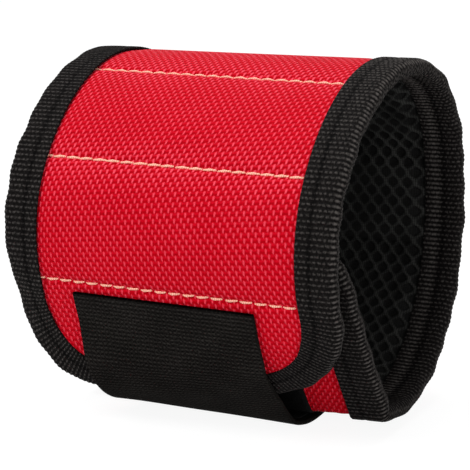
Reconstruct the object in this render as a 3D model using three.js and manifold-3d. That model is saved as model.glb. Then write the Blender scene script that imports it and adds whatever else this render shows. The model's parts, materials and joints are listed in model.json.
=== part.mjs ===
// Magnetic wristband, closed into a ring as it is worn.
// Millimetres, +Z up. X runs along the ring's axis, the strap is at the front (-Y).
// The origin is on the surface that the band stands on, under the middle of its box.
//
// Every piece is drawn on the band's flat sewing pattern and then bent round the wrist:
//   x  across the band, 0 at its centre line
//   s  along one panel, from its seam nearest the outer end
//   d  depth into the band, 0 on the outside of the red cover, positive towards the wrist

import * as THREE from "three";
import { mergeVertices } from "three/addons/utils/BufferGeometryUtils.js";
import Module from "manifold-3d";

const wasm = await Module();
wasm.setup();

// The band's pattern
const bandWidth = 90;
const flapLength = 32;
const panelLength = 31.5;
const innerEndLength = 53;
const innerEndStraight = 34;
const innerEndRadius = 30;
const flapCornerRadius = 30;
const innerCornerRadius = 12;

// How far each length turns inward when the band is closed, in degrees
const flapTurn = 18;
const panelTurns = [52, 35, 41, 58, 29, 40, 46];
const closureFold = 46;
const flapEndHeading = 125;

// Layers, from the outside in
const tapeThickness = 0.7;
const coverThickness = 0.7;
const liningHem = 1.2;
const padAtSeam = 1.3;
const padCrown = 2.7;
const tapeWidth = 10;
const layerGap = 0.3;
const seamGap = 0.3;

// Stitch rows
const threadWidth = 0.6;
const threadHeight = 0.3;
const stitchRise = 0.3;
const stitchLength = 3.1;
const stitchSpace = 0.7;

// Magnets
const magnetPanels = [1, 2, 3, 4, 5];
const magnetWidth = 22;
const magnetLength = 14;
const magnetThickness = 2;
const magnetOffset = 17;

// Strap and its hook-and-loop closure
const strapWidth = 50;
const strapThickness = 1.1;
const strapBelowSeam = 2.2;
const strapRamp = 3.5;
const strapBendRadius = 12;
const strapFlat = 24;
const strapCurl = 12;
const loopThickness = 0.4;
const loopWidth = 49;
const loopInset = 4;
const loopFoldInset = 1;
const loopOnInnerEnd = 15;
const hookThickness = 0.5;
const hookProud = 0.2;
const hookWidth = 44;
const hookLength = 16;
const closureGap = 0.4;

// How finely round shapes are divided
const panelSteps = 8;
const cornerSteps = 7;
const bendSteps = 8;
const curlSteps = 3;

const degrees = Math.PI / 180;
const halfWidth = bandWidth / 2;

// Depths of the layers
const tapeOutside = -(layerGap + tapeThickness);
const liningOutside = coverThickness + layerGap;
const hemInside = liningOutside + liningHem;
const innerTapeOutside = hemInside + layerGap;
const innerTapeInside = innerTapeOutside + tapeThickness;
const edgeInset = tapeThickness + layerGap;

const materials = {
  cover: new THREE.MeshStandardMaterial({ color: "#c41a30", roughness: 0.62, metalness: 0 }),
  lining: new THREE.MeshStandardMaterial({ color: "#141415", roughness: 0.85, metalness: 0 }),
  binding: new THREE.MeshStandardMaterial({ color: "#1f1e20", roughness: 0.72, metalness: 0 }),
  thread: new THREE.MeshStandardMaterial({ color: "#efb58f", roughness: 0.5, metalness: 0 }),
  magnet: new THREE.MeshStandardMaterial({ color: "#a3a6aa", roughness: 0.3, metalness: 1 }),
  strap: new THREE.MeshStandardMaterial({ color: "#1d1c1e", roughness: 0.7, metalness: 0 }),
  closure: new THREE.MeshStandardMaterial({ color: "#161617", roughness: 0.9, metalness: 0 }),
};

// The closed ring, seen along X: one arc for each length of the band. The inner end runs straight from
// the closure fold and then round with the front of the ring.
function layOutPanels() {
  const innerEndTurn = Math.max(0, innerEndLength - innerEndStraight) / innerEndRadius;
  const lengths = [["flap", flapLength, flapTurn * degrees, 0, 0]];
  panelTurns.forEach((turn, i) => lengths.push([`panel_${i + 1}`, panelLength, turn * degrees, 0, 0]));
  lengths.push(["inner_end", innerEndLength, innerEndTurn, innerEndStraight, closureFold * degrees]);
  let y = 0;
  let z = 0;
  let heading = flapEndHeading * degrees;
  return lengths.map(([name, length, turn, straight, foldBefore]) => {
    heading -= foldBefore;
    const panel = { name, length, turn, straight, y, z, heading };
    const end = outsidePoint(panel, length);
    [y, z, heading] = [end.y, end.z, end.heading];
    return panel;
  });
}

// A point on the outside of the cover, with the direction of travel there
function outsidePoint(panel, s) {
  const flat = Math.min(s, panel.straight);
  const y = panel.y + flat * Math.cos(panel.heading);
  const z = panel.z + flat * Math.sin(panel.heading);
  if (s <= panel.straight || panel.turn === 0) return { y, z, heading: panel.heading };
  const radius = (panel.length - panel.straight) / panel.turn;
  const heading = panel.heading - (s - panel.straight) / radius;
  return {
    y: y + radius * (Math.sin(panel.heading) - Math.sin(heading)),
    z: z + radius * (Math.cos(heading) - Math.cos(panel.heading)),
    heading,
  };
}

// Bends a pattern point onto the ring
function bend(panel, x, s, d) {
  const p = outsidePoint(panel, s);
  return new THREE.Vector3(x, p.y + d * Math.sin(p.heading), p.z - d * Math.cos(p.heading));
}

const panels = layOutPanels();
const panelByName = Object.fromEntries(panels.map((panel) => [panel.name, panel]));
const flap = panelByName.flap;
const bottomPanel = panels[panels.length - 2];
const innerEnd = panelByName.inner_end;

// The two lengths at the closure fold are cut back along its bisector, from the outside of the tape
const foldSlope = Math.tan((closureFold / 2) * degrees);
const foldCut = (d) => foldSlope * Math.max(0, d - tapeOutside);
const startCut = (panel, d) => seamGap / 2 + (panel === innerEnd ? foldCut(d) : 0);
const endCut = (panel, d) => seamGap / 2 + (panel === bottomPanel ? foldCut(d) : 0);

// A closed solid through rings of points, with flat ends
function solidThroughRings(rings) {
  const size = rings[0].length;
  const positions = rings.flat().flatMap((p) => [p.x, p.y, p.z]);
  const index = [];
  for (let r = 0; r + 1 < rings.length; r += 1) {
    for (let k = 0; k < size; k += 1) {
      const a = r * size + k;
      const b = r * size + ((k + 1) % size);
      index.push(a, b, b + size, a, b + size, a + size);
    }
  }
  const last = (rings.length - 1) * size;
  for (const [a, b, c] of capTriangles(rings[0])) index.push(a, c, b);
  for (const [a, b, c] of capTriangles(rings[rings.length - 1])) index.push(last + a, last + b, last + c);
  const geometry = new THREE.BufferGeometry();
  geometry.setAttribute("position", new THREE.Float32BufferAttribute(positions, 3));
  geometry.setIndex(index);
  return facingOut(geometry);
}

// Splits a flat ring into triangles that keep the ring's order
function capTriangles(ring) {
  const normal = new THREE.Vector3();
  ring.forEach((p, i) => normal.add(new THREE.Vector3().crossVectors(p, ring[(i + 1) % ring.length])));
  normal.normalize();
  const across = new THREE.Vector3().subVectors(ring[1], ring[0]).normalize();
  const up = new THREE.Vector3().crossVectors(normal, across);
  return THREE.ShapeUtils.triangulateShape(ring.map((p) => new THREE.Vector2(p.dot(across), p.dot(up))), []);
}

// Turns the faces outward if they point in
function facingOut(geometry) {
  const p = geometry.attributes.position;
  const index = geometry.index.array;
  const corner = (k) => new THREE.Vector3().fromBufferAttribute(p, index[k]);
  let volume = 0;
  for (let k = 0; k < index.length; k += 3) {
    volume += corner(k).dot(new THREE.Vector3().crossVectors(corner(k + 1), corner(k + 2)));
  }
  if (volume < 0) {
    for (let k = 0; k < index.length; k += 3) [index[k + 1], index[k + 2]] = [index[k + 2], index[k + 1]];
  }
  return geometry;
}

// A boolean cut
function cut(geometry, tools) {
  const solid = (g) => {
    const bare = g.clone();
    bare.deleteAttribute("normal");
    bare.deleteAttribute("uv");
    const merged = mergeVertices(bare, 1e-4);
    const vertProperties = new Float32Array(merged.attributes.position.array);
    const triVerts = new Uint32Array(merged.index.array);
    return new wasm.Manifold(new wasm.Mesh({ numProp: 3, vertProperties, triVerts }));
  };
  const mesh = tools.reduce((body, tool) => body.subtract(solid(tool)), solid(geometry)).getMesh();
  const result = new THREE.BufferGeometry();
  result.setAttribute("position", new THREE.Float32BufferAttribute(Array.from(mesh.vertProperties), 3));
  result.setIndex(Array.from(mesh.triVerts));
  return result;
}

const group = new THREE.Group();

function addPiece(name, geometry, material) {
  const mesh = new THREE.Mesh(geometry, material);
  mesh.name = name;
  group.add(mesh);
}

// Sweeps a cross-section of [x, d] corners along one panel; section(t) gives it at t from 0 to 1
function sweepAlong(panel, section, steps) {
  const rings = [];
  for (let k = 0; k <= steps; k += 1) {
    const t = k / steps;
    rings.push(section(t).map(([x, d]) => {
      const from = startCut(panel, d);
      const to = panel.length - endCut(panel, d);
      return bend(panel, x, from + (to - from) * t, d);
    }));
  }
  return solidThroughRings(rings);
}

// Half the width of an end with rounded corners, at a distance from its tip, drawn in by an inset
function roundedHalfWidth(fromTip, cornerRadius, inset) {
  if (fromTip >= cornerRadius) return halfWidth - inset;
  const radius = cornerRadius - inset;
  const away = Math.min(cornerRadius - fromTip, radius);
  return halfWidth - cornerRadius + Math.sqrt(radius * radius - away * away);
}

// Distances from a rounded tip at which its outline is divided: evenly round the corner, then to the seam
function tipStations(cornerRadius, inset, length) {
  const stations = [];
  for (let k = 0; k <= cornerSteps; k += 1) {
    stations.push(cornerRadius - (cornerRadius - inset) * Math.cos((k / cornerSteps) * (Math.PI / 2)));
  }
  const straight = length - cornerRadius;
  const steps = Math.max(1, Math.round(straight / (panelLength / panelSteps)));
  for (let k = 1; k <= steps; k += 1) stations.push(cornerRadius + (straight * k) / steps);
  return stations;
}

// A flat layer of the flap or the inner end, between two depths
function endLayer(panel, cornerRadius, from, to) {
  const atSeam = panel === flap ? endCut : startCut;
  const rings = tipStations(cornerRadius, edgeInset, panel.length).map((fromTip) => {
    const half = roundedHalfWidth(fromTip, cornerRadius, edgeInset);
    return [[-half, from], [half, from], [half, to], [-half, to]].map(([x, d]) => {
      const away = Math.min(fromTip, panel.length - atSeam(panel, d));
      return bend(panel, x, panel === flap ? away : panel.length - away, d);
    });
  });
  return solidThroughRings(rings);
}

// Red woven cover
for (const panel of panels) {
  if (panel === flap) {
    addPiece("flap_cover", endLayer(flap, flapCornerRadius, 0, coverThickness), materials.cover);
  } else if (panel === innerEnd) {
    addPiece("inner_end_cover", endLayer(innerEnd, innerCornerRadius, 0, coverThickness), materials.cover);
  } else {
    const half = halfWidth - edgeInset;
    const section = () => [[-half, 0], [half, 0], [half, coverThickness], [-half, coverThickness]];
    addPiece(`${panel.name}_cover`, sweepAlong(panel, section, panelSteps), materials.cover);
  }
}

// Where a flat magnet sits in a curved panel: as close behind the cover as its flatness lets it
function magnetDepth(panel) {
  const radius = panel.length / panel.turn - coverThickness;
  const halfLength = magnetLength / 2;
  const sag = radius - Math.sqrt(radius * radius - halfLength * halfLength);
  return liningOutside + sag;
}

// A box laid flat in the middle of a panel, between two depths
function boxInPanel(panel, x, width, length, from, to) {
  const middle = outsidePoint(panel, panel.length / 2);
  const box = new THREE.BoxGeometry(width, length, to - from);
  box.translate(0, 0, (from + to) / 2);
  const inward = new THREE.Vector3(0, Math.sin(middle.heading), -Math.cos(middle.heading));
  const along = new THREE.Vector3(0, Math.cos(middle.heading), Math.sin(middle.heading));
  const across = new THREE.Vector3().crossVectors(along, inward);
  box.applyMatrix4(new THREE.Matrix4().makeBasis(across, along, inward));
  return box.translate(x, middle.y, middle.z);
}

// Air-mesh lining: a hem under the tape and a pad that swells between the seams
for (const panel of panels) {
  if (panel === flap) {
    addPiece("flap_lining", endLayer(flap, flapCornerRadius, liningOutside, hemInside), materials.lining);
    continue;
  }
  if (panel === innerEnd) {
    const geometry = endLayer(innerEnd, innerCornerRadius, liningOutside, hemInside);
    addPiece("inner_end_lining", geometry, materials.lining);
    continue;
  }
  const hem = halfWidth - edgeInset;
  const pad = halfWidth - tapeWidth - layerGap;
  const section = (t) => {
    const inside = hemInside + padAtSeam + (padCrown - padAtSeam) * Math.sin(Math.PI * t);
    const crown = pad - (inside - hemInside) / 2;
    return [
      [-hem, liningOutside], [hem, liningOutside], [hem, hemInside], [pad, hemInside],
      [crown, inside], [-crown, inside], [-pad, hemInside], [-hem, hemInside],
    ];
  };
  let geometry = sweepAlong(panel, section, panelSteps);
  const number = panels.indexOf(panel);
  if (magnetPanels.includes(number)) {
    const from = magnetDepth(panel);
    const to = from + magnetThickness;
    const [width, length] = [magnetWidth + 2 * layerGap, magnetLength + 2 * layerGap];
    const sides = [["left", -magnetOffset], ["right", magnetOffset]];
    geometry = cut(geometry, sides.map(([, x]) => boxInPanel(panel, x, width, length, 0, to + layerGap)));
    for (const [side, x] of sides) {
      const magnet = boxInPanel(panel, x, magnetWidth, magnetLength, from, to);
      addPiece(`magnet_${number}_${side}`, magnet, materials.magnet);
    }
  }
  addPiece(`${panel.name}_lining`, geometry, materials.lining);
}

// Binding tape, folded over the edge: [distance in from the edge, depth] round its section
function tapeSection() {
  const middle = tapeWidth / 2;
  return [
    [tapeWidth, tapeOutside], [middle, tapeOutside], [0, tapeOutside],
    [0, innerTapeInside], [middle, innerTapeInside], [tapeWidth, innerTapeInside],
    [tapeWidth, innerTapeOutside], [middle, innerTapeOutside], [tapeThickness, innerTapeOutside],
    [tapeThickness, -layerGap], [middle, -layerGap], [tapeWidth, -layerGap],
  ];
}

// The tape round a rounded end, from one seam to the other
function endTape(panel, cornerRadius) {
  const atSeam = panel === flap ? endCut : startCut;
  const edge = [];
  const straightSteps = Math.max(1, Math.round((panel.length - cornerRadius) / (panelLength / panelSteps)));
  for (let k = 0; k < straightSteps; k += 1) {
    edge.push({ x: halfWidth, away: panel.length - ((panel.length - cornerRadius) * k) / straightSteps, angle: 0 });
  }
  for (let k = 0; k <= cornerSteps; k += 1) {
    const angle = (k / cornerSteps) * (Math.PI / 2);
    const x = halfWidth - cornerRadius + cornerRadius * Math.cos(angle);
    edge.push({ x, away: cornerRadius - cornerRadius * Math.sin(angle), angle });
  }
  const mirrored = edge.toReversed().map(({ x, away, angle }) => ({ x: -x, away, angle: Math.PI - angle }));
  const rings = [...edge, ...mirrored].map(({ x, away, angle }) => tapeSection().map(([inward, d]) => {
    const fromTip = Math.min(away + inward * Math.sin(angle), panel.length - atSeam(panel, d));
    const across = x - inward * Math.cos(angle);
    return bend(panel, across, panel === flap ? fromTip : panel.length - fromTip, d);
  }));
  return solidThroughRings(rings);
}

for (const panel of panels) {
  if (panel === flap) {
    addPiece("flap_binding", endTape(flap, flapCornerRadius), materials.binding);
  } else if (panel === innerEnd) {
    addPiece("inner_end_binding", endTape(innerEnd, innerCornerRadius), materials.binding);
  } else {
    for (const [side, sign] of [["left", -1], ["right", 1]]) {
      const section = () => [
        [tapeWidth, tapeOutside], [0, tapeOutside], [0, innerTapeInside], [tapeWidth, innerTapeInside],
        [tapeWidth, innerTapeOutside], [tapeThickness, innerTapeOutside],
        [tapeThickness, -layerGap], [tapeWidth, -layerGap],
      ].map(([inward, d]) => [sign * (halfWidth - inward), d]);
      addPiece(`${panel.name}_binding_${side}`, sweepAlong(panel, section, panelSteps), materials.binding);
    }
  }
}

// Stitch rows: one thread beside each seam, rising over the cover at every stitch. The last row is on the
// bottom panel's side of the closure fold.
for (let seam = 1; seam < panels.length; seam += 1) {
  const panel = panels[seam] === innerEnd ? bottomPanel : panels[seam];
  const reach = halfWidth - tapeWidth - layerGap;
  const pitch = stitchLength + stitchSpace;
  const count = Math.floor((2 * reach + stitchSpace) / pitch);
  const firstX = -(count * pitch - stitchSpace) / 2;
  const atStart = startCut(panel, 0);
  const from = panel === panels[seam] ? atStart : panel.length - endCut(panel, 0) - threadWidth;
  const slope = Math.min(stitchSpace, stitchLength) / 3;
  const rings = [];
  const addRing = (x, lift) => {
    const bottom = -layerGap;
    const top = bottom - threadHeight - lift;
    const foot = bottom - lift * 0.3;
    rings.push([[from, foot], [from + threadWidth, foot], [from + threadWidth, top], [from, top]]
      .map(([s, d]) => bend(panel, x, s, d)));
  };
  for (let k = 0; k < count; k += 1) {
    const x = firstX + k * pitch;
    addRing(x, 0);
    addRing(x + slope, stitchRise);
    addRing(x + stitchLength - slope, stitchRise);
    addRing(x + stitchLength, 0);
  }
  addPiece(`seam_thread_${seam}`, solidThroughRings(rings), materials.thread);
}

// Strap, sewn part: flat on the flap, then up over the tape at the flap's end
const strapOnCover = -layerGap;
const strapOnTape = tapeOutside - layerGap;
{
  const top = flapLength - strapBelowSeam;
  const pastStraight = Math.max(0, strapWidth / 2 - (halfWidth - flapCornerRadius));
  const insideRadius = flapCornerRadius - tapeWidth;
  const offTape = flapCornerRadius - Math.sqrt(insideRadius ** 2 - pastStraight ** 2) + layerGap;
  const stations = [seamGap / 2, offTape / 3, (offTape * 2) / 3, offTape, offTape + strapRamp];
  const flatSteps = 3;
  const flatFrom = stations[stations.length - 1];
  for (let k = 1; k <= flatSteps; k += 1) stations.push(flatFrom + ((top - flatFrom) * k) / flatSteps);
  const rings = stations.map((s) => {
    const under = s <= offTape ? strapOnTape : strapOnCover;
    const corners = [[-1, under], [1, under], [1, under - strapThickness], [-1, under - strapThickness]];
    return corners.map(([side, d]) => bend(flap, (side * strapWidth) / 2, s, d));
  });
  addPiece("strap_base", solidThroughRings(rings), materials.strap);
}

// The lowest line of the bottom panel, where its outside faces straight down
const lowestS = (bottomPanel.length * (bottomPanel.heading + Math.PI)) / bottomPanel.turn;
const lowest = outsidePoint(bottomPanel, lowestS);
const loopBottom = lowest.z - layerGap - loopThickness;
const strapTop = loopBottom - closureGap - hookProud;
const standingLevel = strapTop - strapThickness;

// Strap, free tail: straight on from the flap's end, round a bend, flat under the ring and up with its curve
const tailStart = bend(flap, 0, -seamGap / 2, strapOnTape - strapThickness);
const tailHeading = flap.heading + Math.PI - 2 * Math.PI;
const bendDrop = strapBendRadius * (1 - Math.cos(tailHeading));
const straightRun = (tailStart.z - standingLevel - bendDrop) / -Math.sin(tailHeading);
const tail = [{ y: tailStart.y, z: tailStart.z, heading: tailHeading }];
const bendStartY = tailStart.y + straightRun * Math.cos(tailHeading);
const bendStartZ = tailStart.z + straightRun * Math.sin(tailHeading);
for (let k = 0; k <= bendSteps; k += 1) {
  const heading = tailHeading * (1 - k / bendSteps);
  const y = bendStartY + strapBendRadius * (Math.sin(heading) - Math.sin(tailHeading));
  const z = bendStartZ - strapBendRadius * (Math.cos(heading) - Math.cos(tailHeading));
  tail.push({ y, z, heading });
}
const flatStart = tail[tail.length - 1];
const flatEnd = { y: flatStart.y + strapFlat, z: standingLevel, heading: 0 };
tail.push(flatEnd);
const curlRadius = bottomPanel.length / bottomPanel.turn + (lowest.z - standingLevel);
for (let k = 1; k <= curlSteps; k += 1) {
  const heading = ((strapCurl / curlRadius) * k) / curlSteps;
  const y = flatEnd.y + curlRadius * Math.sin(heading);
  tail.push({ y, z: flatEnd.z + curlRadius * (1 - Math.cos(heading)), heading });
}
{
  const rings = tail.map(({ y, z, heading }) => {
    const insideY = y - strapThickness * Math.sin(heading);
    const insideZ = z + strapThickness * Math.cos(heading);
    const half = strapWidth / 2;
    return [
      new THREE.Vector3(-half, y, z), new THREE.Vector3(half, y, z),
      new THREE.Vector3(half, insideY, insideZ), new THREE.Vector3(-half, insideY, insideZ),
    ];
  });
  const hookTop = strapTop + hookProud;
  const hookBottom = hookTop - hookThickness;
  const recess = new THREE.BoxGeometry(hookWidth + 2 * layerGap, hookLength + 2 * layerGap, 2 * strapThickness);
  recess.translate(0, lowest.y, hookBottom - layerGap + strapThickness);
  addPiece("strap_tail", cut(solidThroughRings(rings), [recess]), materials.strap);
  const hooks = new THREE.BoxGeometry(hookWidth, hookLength, hookThickness);
  addPiece("hook_pad", hooks.translate(0, lowest.y, hookBottom + hookThickness / 2), materials.closure);
}

// Loop patches on the outside, under the ring and round the closure fold on the inner end
function addLoopPatch(name, panel, from, to) {
  const half = loopWidth / 2;
  const rings = [];
  for (let k = 0; k <= panelSteps; k += 1) {
    const s = from + ((to - from) * k) / panelSteps;
    const corners = [[-half, -layerGap], [half, -layerGap]];
    const outer = [[half, -layerGap - loopThickness], [-half, -layerGap - loopThickness]];
    rings.push([...corners, ...outer].map(([x, d]) => bend(panel, x, s, d)));
  }
  addPiece(name, solidThroughRings(rings), materials.closure);
}
addLoopPatch("loop_patch", bottomPanel, loopInset, bottomPanel.length - loopInset);
addLoopPatch("loop_patch_end", innerEnd, loopFoldInset, loopFoldInset + loopOnInnerEnd);

// Stand the band on its surface, with the origin under the middle of its box
const box = new THREE.Box3().setFromObject(group);
const origin = new THREE.Vector3((box.min.x + box.max.x) / 2, (box.min.y + box.max.y) / 2, standingLevel);
for (const mesh of group.children) mesh.position.copy(origin).negate();

// The lines that the lengths of the band and the strap's tail fold on
const seamLine = (panel, s) => bend(panel, 0, s, tapeOutside).sub(origin).toArray();
group.userData.hinges = Object.fromEntries(panels.slice(0, -1).map((panel, i) => {
  const line = seamLine(panel, panel.length);
  if (panel === bottomPanel) {
    const end = outsidePoint(panel, panel.length);
    const bisector = end.heading - (closureFold / 2) * degrees;
    const reach = tapeOutside / Math.cos((closureFold / 2) * degrees);
    line[1] = end.y + reach * Math.sin(bisector) - origin.y;
    line[2] = end.z - reach * Math.cos(bisector) - origin.z;
  }
  return [`seam_${i + 1}`, line];
}));
group.userData.hinges.strap_peel = bend(flap, 0, 0, strapOnTape - strapThickness).sub(origin).toArray();

export default group;
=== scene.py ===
import json
import math

import bpy
import numpy as np
from mathutils import Matrix, Vector


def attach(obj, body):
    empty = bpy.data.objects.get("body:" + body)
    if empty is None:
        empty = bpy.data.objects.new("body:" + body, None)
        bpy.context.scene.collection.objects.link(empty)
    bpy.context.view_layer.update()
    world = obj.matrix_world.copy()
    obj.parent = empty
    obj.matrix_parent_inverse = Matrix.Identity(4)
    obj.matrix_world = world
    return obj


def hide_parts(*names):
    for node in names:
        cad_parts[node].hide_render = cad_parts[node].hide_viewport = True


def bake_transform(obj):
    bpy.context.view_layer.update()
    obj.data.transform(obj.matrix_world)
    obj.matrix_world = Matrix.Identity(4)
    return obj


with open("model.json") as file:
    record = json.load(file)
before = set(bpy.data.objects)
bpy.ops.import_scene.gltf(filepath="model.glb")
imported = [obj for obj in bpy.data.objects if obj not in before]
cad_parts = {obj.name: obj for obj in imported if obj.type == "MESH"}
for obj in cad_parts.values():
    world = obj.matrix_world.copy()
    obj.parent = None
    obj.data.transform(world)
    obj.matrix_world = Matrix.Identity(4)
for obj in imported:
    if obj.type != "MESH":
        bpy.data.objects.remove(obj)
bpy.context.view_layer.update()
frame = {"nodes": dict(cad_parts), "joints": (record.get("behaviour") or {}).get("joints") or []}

# The band's flat pattern, in millimetres, as the solids have it:
# x across the band, s along it from the flap's end, d into it from the outside of the cover.
PANEL_LENGTH = 31.5
LENGTHS = [32.0] + [PANEL_LENGTH] * 7 + [53.0]
TURNS = [18, 52, 35, 41, 58, 29, 40, 46, 0]
BODIES = ["flap"] + [f"panel_{k}" for k in range(1, 8)] + ["inner_end"]
INNER_STRAIGHT = 34.0
INNER_RADIUS = 30.0
CLOSURE_FOLD = 46
FLAP_END_HEADING = 125
HALF_WIDTH = 45.0
FLAP_CORNER = 30.0
INNER_CORNER = 12.0
TAPE_WIDTH = 10.0
TAPE_OUTSIDE = -1.0
BAND_LENGTH = sum(LENGTHS)
SEAMS = np.cumsum(LENGTHS)[:-1]
LAST = len(BODIES) - 1

# Where one dressed piece ends and the next begins, ahead of each seam, and how far a seam's bend spreads
PIECE_LEAD = 6.0
BEND_REACH = 5.0
PIECE_ENDS = np.concatenate([[0.0], SEAMS - PIECE_LEAD, [BAND_LENGTH]])

# Stitch rows: hand-guided, so the rows lean a little across the band. The last is below the closure fold.
ROW_LEAN = [-0.019, -0.016, -0.022, 0.004, -0.004, 0.005, 0.0, 0.0]
ROW_OFFSET = [0.15, 0.30, -0.20, 0.45, 0.45, 0.45, 0.45, -1.6]
STITCH_PITCH = 3.8

# How the limp flap gives: its end tucks in under the strap and twists, right side in and up
FLAP_TUCK = 1.3
TUCK_LENGTH = 9.0
FLAP_TWIST = 3.1
TWIST_LENGTH = 24.0
TWIST_FULL = 2.0
LEFT_HANG = 0.087
RIGHT_LIFT = 0.012
FLAP_ASIDE = -1.1

# The curl of the flap's left edge: its depth, its place on the pattern, and how far it draws the edge in
EDGE_CURL = 1.9
CURL_STARTS = -33.0
CURL_WIDTH = 12.0
CURL_PLACE = 27.0
CURL_LENGTH = 12.0
CURL_DRAWS_IN = 0.3

# How far the closure fold is drawn in: at the middle, more at both sides and more again on the left,
# and how far along the band that reaches
FOLD_LIFT = 0.25
FOLD_LIFT_SIDES = 1.2
FOLD_LIFT_LEFT = 0.25
FOLD_REACH = 14.0

# The cover's weave: the pitch of its yarns both ways, how they lean, and how far a yarn's face turns
WEAVE_ACROSS = 0.945
WEAVE_ALONG = 1.26
WARP_LEAN = -0.03
WEFT_LEAN = -0.10
YARN_TURN = 0.6

# The lining's net: the pitch of its holes both ways, and how its cords swing
MESH_ACROSS = 4.05
MESH_ALONG = 5.5
MESH_SWING = 0.06

# The tape: the pitch of its dashes and how far in from the edge it is sewn, and places round its section
# from the outer rim: the sewing line, the fold and the inner rim
TAPE_DASH = 1.27
TAPE_SEWN = 6.4
TAPE_SEWN_AROUND = 3.7
FOLD_AROUND = 10.6
TAPE_AROUND = 21.0

# The band's edge, run along from the middle of the flap's end. A whole number of ribs goes round it.
FLAP_FLAT = HALF_WIDTH - FLAP_CORNER
SIDE_STARTS = FLAP_FLAT + FLAP_CORNER * math.pi / 2
SIDE_ENDS = SIDE_STARTS + BAND_LENGTH - FLAP_CORNER - INNER_CORNER
HALF_EDGE = SIDE_ENDS + INNER_CORNER * math.pi / 2 + HALF_WIDTH - INNER_CORNER
RIB_PITCH_ABOUT = 1.29
RIB_PITCH = 2 * HALF_EDGE / round(2 * HALF_EDGE / RIB_PITCH_ABOUT)

MM = 0.001


def smooth(a, b, v):
    """0 at a, 1 at b and eased between them."""
    t = np.clip((v - a) / (b - a), 0, 1)
    return t * t * (3 - 2 * t)


def bell(v):
    """1 at nothing, falling off to both sides."""
    return np.exp(-(v ** 2))


# The ring's outline, seen along x: its step, its run past both ends, and the steps that ease its corners
PATH_STEP = 0.05
PATH_RUN_OUT = 40.0
PATH_EASE = 95


def ring_path():
    s = np.arange(-PATH_RUN_OUT, BAND_LENGTH + PATH_RUN_OUT, PATH_STEP)
    heading = np.full_like(s, FLAP_END_HEADING)
    start = 0.0
    for length, turn in zip(LENGTHS, TURNS):
        heading -= turn * np.clip((s - start) / length, 0, 1)
        start += length
    heading = np.radians(heading - CLOSURE_FOLD * (s >= SEAMS[-1]))
    bent = np.clip(s - SEAMS[-1] - INNER_STRAIGHT, 0, LENGTHS[-1] - INNER_STRAIGHT)
    heading -= bent / INNER_RADIUS
    between = (heading[1:] + heading[:-1]) / 2
    y = np.concatenate([[0], np.cumsum(np.cos(between)) * PATH_STEP])
    z = np.concatenate([[0], np.cumsum(np.sin(between)) * PATH_STEP])
    kernel = np.hanning(PATH_EASE)
    kernel /= kernel.sum()
    y = np.convolve(y, kernel, "valid")
    z = np.convolve(z, kernel, "valid")
    s = s[PATH_EASE // 2 : -(PATH_EASE // 2)]
    along = np.hypot(np.gradient(y), np.gradient(z))
    return s, y, z, np.gradient(y) / along, np.gradient(z) / along


PATH_S, PATH_Y, PATH_Z, PATH_DY, PATH_DZ = ring_path()
JOINTS = {joint["name"]: joint for joint in frame["joints"]}


def at_path(s):
    return [np.interp(s, PATH_S, values) for values in (PATH_Y, PATH_Z, PATH_DY, PATH_DZ)]


def settle_origin():
    y, z, dy, dz = at_path(SEAMS[0])
    hinge = JOINTS["seam_1"]["pos_m"]
    return hinge[1] / MM - (y + TAPE_OUTSIDE * dz), hinge[2] / MM - (z - TAPE_OUTSIDE * dy)


ORIGIN_Y, ORIGIN_Z = settle_origin()


def bend(x, s, d):
    """Pattern points in millimetres, bent onto the ring, in metres."""
    x, s, d = np.broadcast_arrays(x, s, d)
    limp = smooth(LENGTHS[0], 0.0, s)
    y, z, dy, dz = at_path(s + np.where(x < 0, LEFT_HANG, RIGHT_LIFT) * x * limp)
    curl = np.clip((CURL_STARTS - x) / CURL_WIDTH, 0, 1) ** 2 * bell((s - CURL_PLACE) / CURL_LENGTH)
    twist = FLAP_TWIST * x / HALF_WIDTH * smooth(TWIST_LENGTH, TWIST_FULL, s)
    tuck = FLAP_TUCK * np.clip(1 - s / TUCK_LENGTH, 0, 1) ** 2
    u = x / HALF_WIDTH
    lift = FOLD_LIFT + FOLD_LIFT_SIDES * u * u - FOLD_LIFT_LEFT * u
    d = d + tuck + twist + EDGE_CURL * curl + bell((s - SEAMS[-1]) / FOLD_REACH) * lift
    x = x + CURL_DRAWS_IN * curl + FLAP_ASIDE * limp
    return np.stack([x, y + d * dz + ORIGIN_Y, z - d * dy + ORIGIN_Z], -1) * MM


def rounded_half(from_tip, radius, inset):
    """Half the width of a rounded end, at a distance from its tip."""
    away = np.clip(radius - from_tip, 0, radius - inset)
    return HALF_WIDTH - radius + np.sqrt((radius - inset) ** 2 - away ** 2)


def half_width(s, inset):
    flap = rounded_half(s, FLAP_CORNER, inset)
    inner = rounded_half(BAND_LENGTH - s, INNER_CORNER, inset)
    return np.minimum(flap, inner)


def row_distance(x, s):
    """Distance along the band from the nearest stitch row."""
    best = np.full(np.broadcast(x, s).shape, np.inf)
    for seam, offset, lean in zip(SEAMS, ROW_OFFSET, ROW_LEAN):
        away = s - (seam + offset + lean * x)
        best = np.where(np.abs(away) < np.abs(best), away, best)
    return best


# Meshes

def grid_normals(points, closed=False):
    if closed:
        points = np.concatenate([points[:, -1:], points, points[:, :1]], axis=1)
    normal = np.cross(np.gradient(points, axis=1), np.gradient(points, axis=0))
    normal /= np.maximum(np.linalg.norm(normal, axis=-1, keepdims=True), 1e-12)
    return normal[:, 1:-1] if closed else normal


def quads(rows, columns, first=0, wrap=False):
    i = np.arange(rows - 1)[:, None]
    j = np.arange(columns if wrap else columns - 1)[None, :]
    a = i * columns + j
    b = i * columns + (j + 1) % columns
    return (np.stack([a, b, b + columns, a + columns], -1).reshape(-1, 4) + first).tolist()


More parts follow.
